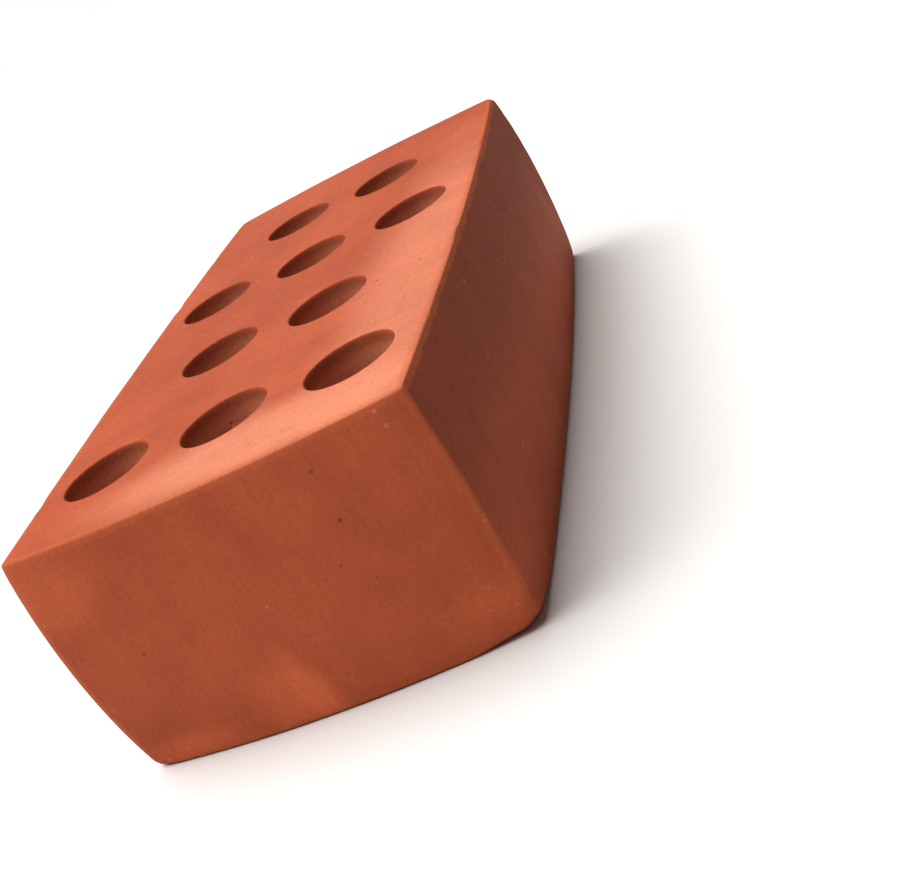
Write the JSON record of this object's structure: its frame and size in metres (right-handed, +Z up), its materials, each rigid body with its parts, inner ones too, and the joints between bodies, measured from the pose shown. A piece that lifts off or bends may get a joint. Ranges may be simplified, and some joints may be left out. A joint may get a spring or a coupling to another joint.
{
  "type": "perforated clay brick",
  "caption": "Fired clay brick with slightly crowned sides and staggered rows of round holes running through it from bed to bed.",
  "frame": {"origin": "centre of the lower bed face", "axes": "+X along the length towards the end with two holes in its last row, +Y across the width, +Z up from the lower bed to the upper bed"},
  "size_m": [0.22, 0.105, 0.06],
  "materials": {
    "fired_clay": "matt fired terracotta"
  },
  "bodies": {
    "root": {"brick": "fired_clay"}
  },
  "joints": []
}
